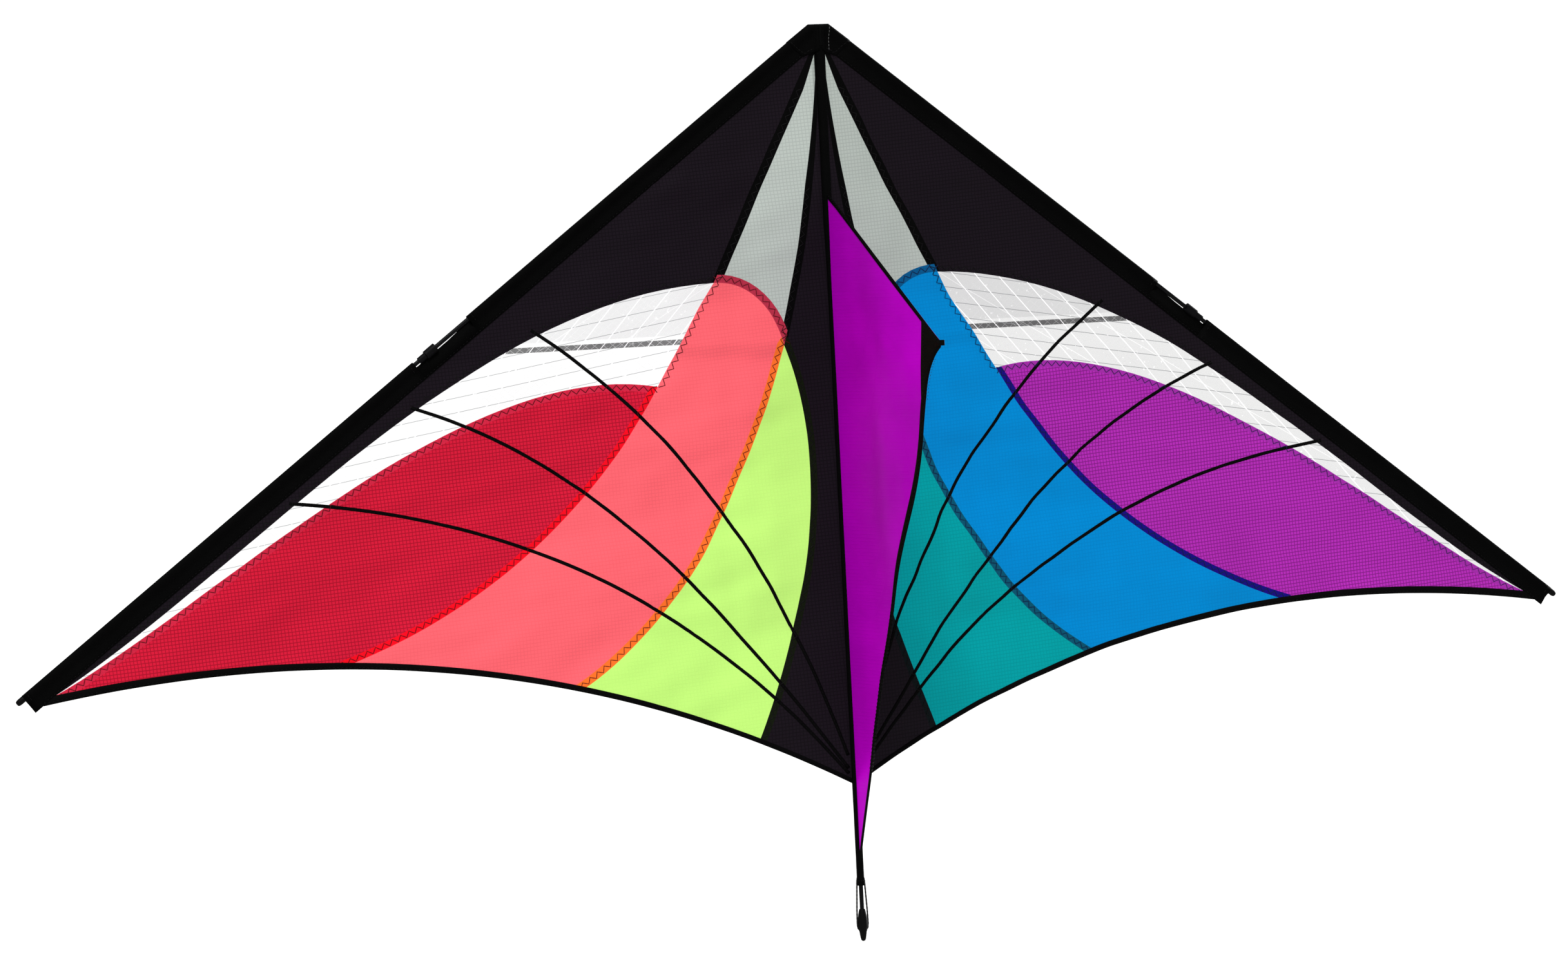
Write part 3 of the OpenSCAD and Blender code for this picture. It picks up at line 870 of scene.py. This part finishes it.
def sleeve_tube(side, start, end):
    """One closed stretch of sleeve with its ends turned in round the rod."""
    place = on_edge(side)
    profile = sleeve_profile()
    inner = []
    for n, v in profile:
        away = max(0.0, abs(v) - 0.75)
        inner.append((min(max(n, 1.2), SLEEVE_W - 0.6), math.copysign(away, v) if v else 0.0))
    rings = [(start + 5, inner), (start + 0.4, inner), (start, profile)]
    steps = max(2, int((end - start) / 9))
    rings += [(start + (end - start) * i / steps, profile) for i in range(1, steps)]
    rings += [(end, profile), (end - 0.4, inner), (end - 5, inner)]
    verts = []
    for k, (along, ring) in enumerate(rings):
        for n, v in ring:
            calm = 1 if 3 <= k < len(rings) - 3 else 0
            fold = noise.noise(Vector((along / 26, n / 9, 3.0 if v > 0 else 6.0))) * 0.35 * calm
            bulge = min(1.0, abs(v) / 1.5)
            verts.append(place(along, n, v + math.copysign(fold * bulge, v)))
    return verts, lofted(len(rings), len(profile), ends=False)


def sleeve_flange(side, start, end):
    """The flat double layer that is left beside the opening."""
    place = on_edge(side)
    outline = [
        (start, 19.9), (end, 19.9), (end, 6.0), (start + 0.42 * (end - start), 6.0), (start + 8, 4.9),
        (start, 4.9),
    ]
    verts = [place(a, n, v) for v in (-FLAT_H, FLAT_H) for a, n in outline]
    return verts, lofted(2, len(outline))


def make_sleeve(side):
    body = side + "_wing"
    parts = [
        sleeve_tube(side, 3, GAP_START), sleeve_flange(side, GAP_START - 1, GAP_END + 1),
        sleeve_tube(side, GAP_END, EDGE_LEN - 0.5),
    ]
    make(side + "_edge_sleeve", *together(parts), "sleeve", body, slot="sleeve_black",
         stands_for=(side + "_le_sleeve",))
    place = on_edge(side)
    rows = [both_faces(place, [(24, 18.2), (EDGE_LEN - 6, 18.2)], FLAT_H + 0.12)]
    rows.append(both_faces(place, [(GAP_START - 4, 18), (GAP_START - 4, 14.2)], FLAT_H + 0.1, length=2.0))
    rows.append(both_faces(place, [(GAP_END + 4, 18), (GAP_END + 4, 14.2)], FLAT_H + 0.1, length=2.0))
    for along in (GAP_START - 4.5, GAP_END + 4.5, EDGE_LEN - 5):
        for face in (-1, 1):
            points = [(n, face * (sleeve_half(n) + 0.12)) for n in (0.7, 1.6, 2.8, 4.4, 6.4, 8.4, 10.4)]
            for (n0, v0), (n1, v1) in zip(points[::2], points[1::2]):
                rows.append(tube([place(along, n0, v0), place(along, n1, v1)], 0.28, 5))
    make(side + "_sleeve_stitches", *together(rows), "thread_black", body, slot="hem_black")


NOSE_FOOT = 830
NOSE_WRAP_R = 5.3


def nose_half(u, z):
    """Half the thickness of the nose patch, which follows the rod and the spine below it."""
    spine = math.sqrt(max(0.0, NOSE_WRAP_R ** 2 - u * u))
    edge = sleeve_half(min(max(inward_of(u, z), 0.0), 19)) + 0.5
    top = min(1.0, max(0.15, (NOSE_H + 0.5 - z) / 2.5))
    return max(0.9, max(spine, edge) * top)


def make_nose_patch(side):
    """The heavy cloth that wraps the nose, half on each wing: it follows the rod and the spine below it."""
    top, foot = (0.6, NOSE_H), (0.6, NOSE_FOOT)
    rod_side, sail_side = edge_point(27, -0.3), edge_point(23, SLEEVE_W + 0.4)
    outline = joined(
        straight(top, (NOSE_U, NOSE_H), 5), straight((NOSE_U, NOSE_H), rod_side, 12),
        straight(rod_side, sail_side, 10), straight(sail_side, foot, 8), straight(foot, top, 12),
    )
    flat, faces = fill(outline, 2.2)
    place = flat_wing(side)
    count = len(flat)
    verts = [place(u, z, face * nose_half(u, z)) for face in (-1, 1) for u, z in flat]
    skin = [tuple(f) for f in faces] + [tuple(i + count for i in f)[::-1] for f in faces]
    seen = {}
    for f in faces:
        for a, b in zip(f, np.roll(f, -1)):
            seen[(a, b)] = seen.get((b, a), 0) + 1
    rim = [(a, b) for (a, b) in seen if (b, a) not in seen]
    skin += [(b, a, a + count, b + count) for a, b in rim]
    body = side + "_wing"
    make(side + "_nose_patch", verts, skin, "sleeve", body, slot="sleeve_black")
    rows = []
    border = [edge_point(24.5, 2), edge_point(20.5, SLEEVE_W - 2), (6, NOSE_FOOT + 1.5)]
    for face in (-1, 1):
        q, d = resample(border, 3.4)
        for p, along in zip(q[:-1], d[:-1]):
            ends = [p, p + along * 2.4]
            rows.append(tube([place(e[0], e[1], face * (nose_half(*e) + 0.1)) for e in ends], 0.26, 5))
    make(side + "_nose_stitches", *together(rows), "thread_black", body, slot="hem_black")


def make_nose_seam():
    """The short row of pale stitches beside the middle of the nose."""
    pitch, length = 3.2, 2
    rows = []
    for k in range(7):
        top = NOSE_H - 3 - k * pitch
        ends = [(9.4, top), (9.4, top - length)]
        rows.append(tube([on_wing("right", u, z, -nose_half(u, z) - 0.1) for u, z in ends], 0.22, 6))
    make("nose_pale_stitches", *together(rows), "thread_pale", "right_wing", slot="hem_black")


# ---------- spine ----------
def make_spine_sleeve():
    top, foot, hem = 838.0, 52.0, 7.0
    heights = [foot + 6, foot + 0.5, foot, foot + 1, foot + hem - 1, foot + hem, foot + hem + 1]
    widths = [3.0, 3.0, 3.8, 4.0, 4.0, 3.8, SPINE_R]
    z = foot + 12
    while z < top:
        heights.append(z)
        widths.append(SPINE_R + min(1.0, max(0.0, (z - 620) / 60)))
        z += 7
    sides = 24
    verts = []
    for z, r in zip(heights, widths):
        for k in range(sides):
            a = 2 * math.pi * k / sides
            soft = noise.noise(Vector((math.cos(a) * 1.3, math.sin(a) * 1.3, z / 24))) * 0.16
            grow = soft if z > foot + hem + 1 else 0
            verts.append(spine_point((r + grow) * math.cos(a), (r + grow) * math.sin(a), z))
    make("spine_cloth_sleeve", verts, lofted(len(heights), sides, ends=False), "sleeve", "spine",
         slot="sleeve_black", stands_for=("spine_sleeve",))
    rows = []
    for k in range(10):
        a, b = 2 * math.pi * k / 10, 2 * math.pi * (k + 0.6) / 10
        turns = (a, (a + b) / 2, b)
        points = [spine_point(4.1 * math.cos(c), 4.1 * math.sin(c), foot + 4.5) for c in turns]
        rows.append(tube(points, 0.26, 5))
    make("spine_sleeve_stitches", *together(rows), "thread_black", "spine", slot="hem_black")


def lathe(profile, place):
    """A turned piece. The profile is (distance along, radius) in mm; place gives the point."""
    sides = 28
    verts = []
    for along, r in profile:
        for k in range(sides):
            a = 2 * math.pi * k / sides
            verts.append(place(along, r * math.cos(a), r * math.sin(a)))
    return verts, lofted(len(profile), sides)


def make_caps():
    foot = [
        (0.0, 0.5), (0.4, 1.5), (1.4, 2.2), (3.4, 2.7), (6.0, 3.1), (8.8, 3.5), (10.6, 4.1),
        (13.0, 4.5), (17.0, 4.6), (21.0, 4.4), (24.5, 3.9), (27.5, 3.3), (29.4, 2.8), (30.0, 2.5),
        (30.0, 2.1), (26.0, 2.1),
    ]
    make("foot_cap", *lathe(foot, lambda s, a, b: spine_point(a, b, s)), "cap_vinyl", "spine",
         slot="cap_vinyl", stands_for=("spine_end_cap",))
    tip = [
        (-9.0, 2.1), (-9.0, 2.7), (-8.5, 2.9), (-2.0, 2.9), (-1.2, 3.0), (3.6, 3.0), (5.2, 2.8), (6.6, 2.2),
        (7.0, 1.3), (7.1, 0.4),
    ]
    for side in SIDES:
        place = on_edge(side)
        verts, faces = lathe(tip, lambda s, a, b: place(EDGE_LEN + 0.6 + s, ROD_IN + a, b))
        make(side + "_tip_vinyl", verts, faces, "cap_vinyl", side + "_wing", slot="cap_vinyl",
             stands_for=(side + "_tip_cap",))


def make_bungee():
    """Down one side of the rod, through the cap and up the other, with a knot's loop at the hem."""
    half = [
        (3.7, 57), (4.1, 50), (4.6, 40), (5.1, 30), (5.35, 22), (5.4, 16), (4.9, 12), (3.2, 10.4), (0, 9.8),
    ]
    path = half + [(-x, z) for x, z in half[-2::-1]]
    fine, _ = resample(path, 1.2)
    points = [spine_point(x, 0, z) for x, z in fine]
    radii = [0.78 + 0.07 * math.sin(i * 2.1) for i in range(len(points))]
    make("tail_elastic", *tube(points, radii, 10), "elastic_black", "spine",
         slot="elastic_black", stands_for=("tail_bungee",))


# ---------- keel ----------
REAR_CORNER = (212, TOW_H - 51)
KEEL_REAR = [REAR_CORNER, (158, 370), (65, 240), KEEL_FOOT]
FRONT_TAPE_W, REAR_TAPE_W = 4.8, 9.4
PATCH_REAR = [REAR_CORNER, (218, 522), (226, 540), (KEEL_TIP[0] - 1, KEEL_TIP[1] - 5)]
PATCH_FRONT = (213, TOW_H + 22.5)


def make_keel():
    rear = curve(KEEL_REAR)
    outline = joined(
        straight(KEEL_TOP, KEEL_TIP, 44), curve(PATCH_REAR)[::-1], rear,
        straight(KEEL_FOOT, KEEL_TOP, 60),
    )
    piece, _ = cloth("keel_cloth", on_keel, outline, "purple", "keel", "ripstop_purple", ("keel_panel",),
                     look=Vector((-1, 0, 0)))
    front = beside([KEEL_TOP, (KEEL_TIP[0] - 2, KEEL_TIP[1] + 0.6)], -2.1)
    make("keel_front_tape", *band(on_keel, front, FRONT_TAPE_W, 1.0, 8), "hem", "keel",
                     slot="hem_black", stands_for=("keel_front_hem",))
    inward = [(d - 4.9 + 3.3 * k / (len(rear) - 1), z) for k, (d, z) in enumerate(rear)]
    inward.insert(0, (inward[0][0] + 2.6, inward[0][1] + 6.5))
    make("keel_rear_tape", *band(on_keel, inward, REAR_TAPE_W, 1.0, 8, taper=0.34), "hem", "keel",
                     slot="hem_black", stands_for=("keel_rear_hem",))
    lines = [beside(front, 1.3), beside(inward[:38], 2.6), beside(inward[:38], -2.6)]
    rows = [both_faces(on_keel, line, 0.56) for line in lines]
    make("keel_stitches", *together(rows), "thread_black", "keel", slot="hem_black")


def make_tow_patch():
    """The doubled black cloth at the keel's point, with its rear edge cut in a hollow."""
    outline = joined(
        straight(PATCH_FRONT, KEEL_TIP, 16), curve(PATCH_REAR)[::-1],
        straight(REAR_CORNER, (REAR_CORNER[0] - 9, REAR_CORNER[1] + 2), 3),
        straight((REAR_CORNER[0] - 9, REAR_CORNER[1] + 2), (206, TOW_H - 21), 8),
        straight((206, TOW_H - 21), PATCH_FRONT, 8),
    )
    flat, faces = fill(outline, 4)
    count = len(flat)
    verts = []
    for across in (-0.75, 0.75):
        border = distance_to(flat, outline + outline[:1])
        verts += [on_keel(d, z, across * (0.55 + 0.45 * min(1, b / 3))) for (d, z), b in zip(flat, border)]
    skin = [tuple(f) for f in faces] + [tuple(i + count for i in f)[::-1] for f in faces]
    edges = {(a, b) for f in faces for a, b in zip(f, np.roll(f, -1))}
    skin += [(b, a, a + count, b + count) for a, b in edges if (b, a) not in edges]
    make("tow_patch_cloth", verts, skin, "webbing", "keel", slot="webbing_black", stands_for=("tow_patch",))
    rows = []
    for inset in (2.2, 5.0):
        line = [(PATCH_FRONT[0] + inset, PATCH_FRONT[1] - inset * 0.6), (208.5 + inset, TOW_H - 21),
                (REAR_CORNER[0] - 7 + inset, REAR_CORNER[1] + 4)]
        rows.append(both_faces(on_keel, line, 0.8, length=2.4))
    # This row lies 2 mm outside the hollow edge, clear of the cloth
    hollow = beside(curve(PATCH_REAR), -2.0)
    rows.append(both_faces(on_keel, hollow[:-2], 0.8, length=2.4))
    make("tow_patch_stitches", *together(rows), "thread_black", "keel", slot="hem_black")


def make_tow_loop():
    """Webbing folded round the eye, with its two ends sewn to the faces of the patch."""
    eye, wall, width = 1.5, 1.0, 5.0
    middle = eye + wall / 2
    path = [(11.5, 1.2), (8, 1.25), (5, 1.4), (3.2, 1.75)]
    angles = np.linspace(math.radians(50), math.radians(310), 22)
    turn = [(middle * math.cos(a), middle * math.sin(a)) for a in angles]
    path = path + turn + [(y, -x) for y, x in reversed(path)]
    q, d = resample(path, 0.6)
    side = np.stack([-d[:, 1], d[:, 0]], 1)
    ring = []
    half_w, half_t = width / 2, wall / 2
    for x, z in ((-1, -0.8), (-0.7, -1), (0.7, -1), (1, -0.8), (1, 0.8), (0.7, 1), (-0.7, 1), (-1, 0.8)):
        ring.append((x * half_t, z * half_w))
    verts = []
    for (y, x), (ny, nx) in zip(q, side):
        for out, up in ring:
            verts.append(Vector(((x + nx * out) * MM, (y + ny * out) * MM, up * MM)))
    make("tow_loop_webbing", verts, lofted(len(q), len(ring)), "webbing", "keel", slot="webbing_black",
         stands_for=("tow_loop",))


def paint_nodes():
    """Carried CAD nodes take the material of their slot."""
    by_slot = {"rod_black", "ferrule_metal", "moulding_black"}
    for part in frame["record"]["subparts"]:
        node = NODES[part["node"]]
        if part["material_slot"] in by_slot:
            node.data.materials.clear()
            node.data.materials.append(MATERIALS[part["material_slot"]])
    pocket = NODES["nose_pocket"]
    pocket.data.materials.clear()
    pocket.data.materials.append(MATERIALS["webbing"])


for wing in SIDES:
    make_sail(wing)
    make_seam_threads(wing)
    make_tapes(wing)
    make_trailing_hem(wing)
    make_sleeve(wing)
    make_nose_patch(wing)
make_nose_seam()
make_spine_sleeve()
make_caps()
make_bungee()
make_keel()
make_tow_patch()
make_tow_loop()
paint_nodes()


# ---------- floor and light ----------
def make_stage():
    s = Shader("pale_floor")
    shade = s.mix(s.math("MULTIPLY", s.noise(3, 3), 0.06), (0.74, 0.74, 0.735, 1), (0.68, 0.68, 0.68, 1))
    material = s.finish(s.principled(shade, 0.9, None, 0.1))
    mesh = bpy.data.meshes.new("floor")
    reach, height = 90.0, FOOT_Z - 0.35
    corners = [(-reach, -reach), (reach, -reach), (reach, reach), (-reach, reach)]
    mesh.from_pydata([(x, y, height) for x, y in corners], [], [(0, 1, 2, 3)])
    mesh.materials.append(material)
    floor = bpy.data.objects.new("floor", mesh)
    bpy.context.scene.collection.objects.link(floor)


def make_light(name, toward, energy, softness):
    lamp = bpy.data.lights.new(name, "SUN")
    lamp.energy = energy
    lamp.angle = math.radians(softness)
    lamp.color = (1.0, 1.0, 1.0)
    light = bpy.data.objects.new(name, lamp)
    light.rotation_mode = "QUATERNION"
    light.rotation_quaternion = Vector(toward).to_track_quat("-Z", "Y")
    bpy.context.scene.collection.objects.link(light)


make_stage()
make_light("back_light", (-0.85, -0.5, -0.15), 3.0, 12)
make_light("front_light", (0.25, 0.5, -0.83), 3.6, 12)
# The backdrop is plain white, and gives less light than it shows, so that folds keep their shading
world = bpy.data.worlds.new("studio")
world.use_nodes = True
nodes, links = world.node_tree.nodes, world.node_tree.links
seen = nodes.new("ShaderNodeLightPath").outputs["Is Camera Ray"]
strength = nodes.new("ShaderNodeMapRange")
strength.inputs["To Min"].default_value = 0.62
strength.inputs["To Max"].default_value = 1.05
links.new(seen, strength.inputs["Value"])
links.new(strength.outputs["Result"], nodes["Background"].inputs["Strength"])
nodes["Background"].inputs["Color"].default_value = (1, 1, 1, 1)
bpy.context.scene.world = world
bpy.context.scene.view_settings.view_transform = "Standard"
